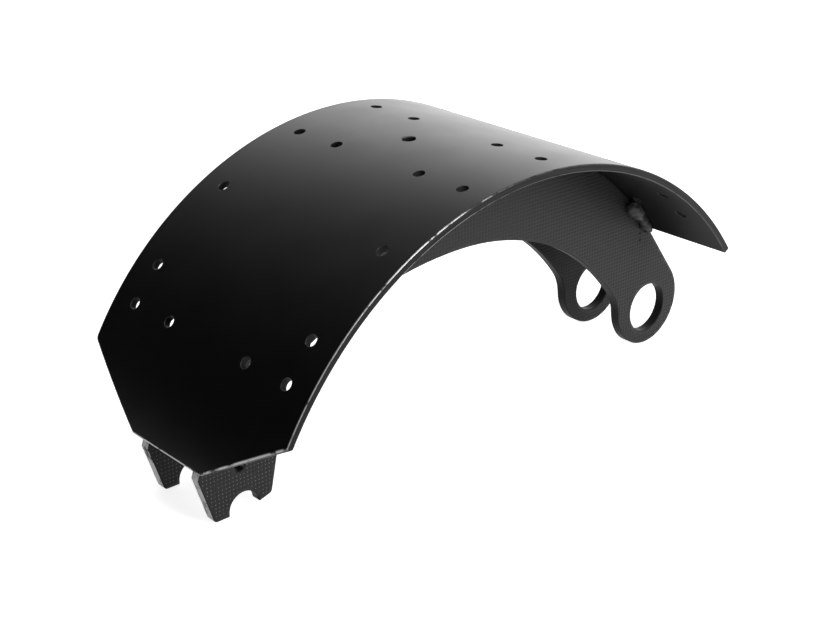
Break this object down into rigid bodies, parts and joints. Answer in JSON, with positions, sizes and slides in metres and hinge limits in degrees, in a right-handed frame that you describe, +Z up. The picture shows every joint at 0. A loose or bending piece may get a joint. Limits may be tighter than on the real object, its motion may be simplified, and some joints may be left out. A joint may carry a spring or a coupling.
{
  "type": "brake shoe",
  "caption": "Bare drum brake shoe: a curved steel table with rivet holes, welded on two arched webs with anchor eyes at one end and open roller seats at the other.",
  "frame": {"origin": "middle of the anchor pin's bore, on its axis and on the shoe's middle plane", "axes": "+Y along the anchor pin, +Z up, away from the ground with the shoe standing on its eyes and feet, +X from the cam end to the anchor end"},
  "size_m": [0.3558, 0.164, 0.157],
  "materials": {
    "table_paint": "satin black enamel on smooth rolled steel",
    "web_paint": "satin black enamel on stamped plate with a fine grid of dimples",
    "weld_paint": "black enamel over weld beads"
  },
  "bodies": {
    "root": {"table": "table_paint", "left_web": "web_paint", "right_web": "web_paint", "left_anchor_weld": "weld_paint", "left_cam_weld": "weld_paint", "right_anchor_weld": "weld_paint", "right_cam_weld": "weld_paint"}
  },
  "joints": []
}
